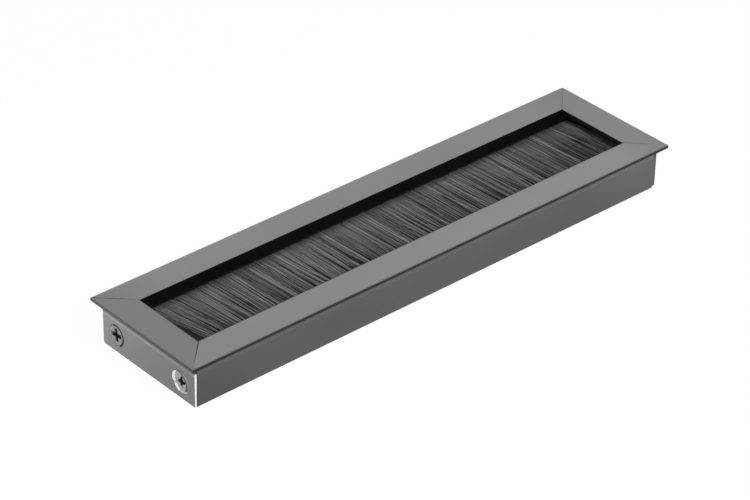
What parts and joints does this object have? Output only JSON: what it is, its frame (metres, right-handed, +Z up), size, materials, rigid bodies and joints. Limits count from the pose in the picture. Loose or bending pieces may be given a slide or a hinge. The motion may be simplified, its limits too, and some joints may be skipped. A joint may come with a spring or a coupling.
{
  "type": "cable grommet",
  "caption": "Long rectangular desk cable grommet: mitred aluminium frame with a thin flange over a skirt, screwed at the ends, with a one-sided brush curtain across the opening.",
  "frame": {"origin": "centre of the base, in the plane of the skirts' lower edges", "axes": "+X along the long sides, +Y towards the side that holds the brush, +Z up out of the desk"},
  "size_m": [0.24, 0.06, 0.0196],
  "materials": {
    "anodised_aluminium": "satin dark grey anodised",
    "screw_steel": "grey plated",
    "channel_steel": "black coated",
    "core_wire": "plain drawn wire",
    "bristle_nylon": "black nylon filament"
  },
  "bodies": {
    "root": {"rear_profile": "anodised_aluminium", "front_profile": "anodised_aluminium", "left_end_profile": "anodised_aluminium", "right_end_profile": "anodised_aluminium", "end_screws": "screw_steel", "brush_channel": "channel_steel", "brush_core_wire": "core_wire", "bristles": "bristle_nylon"}
  },
  "joints": []
}
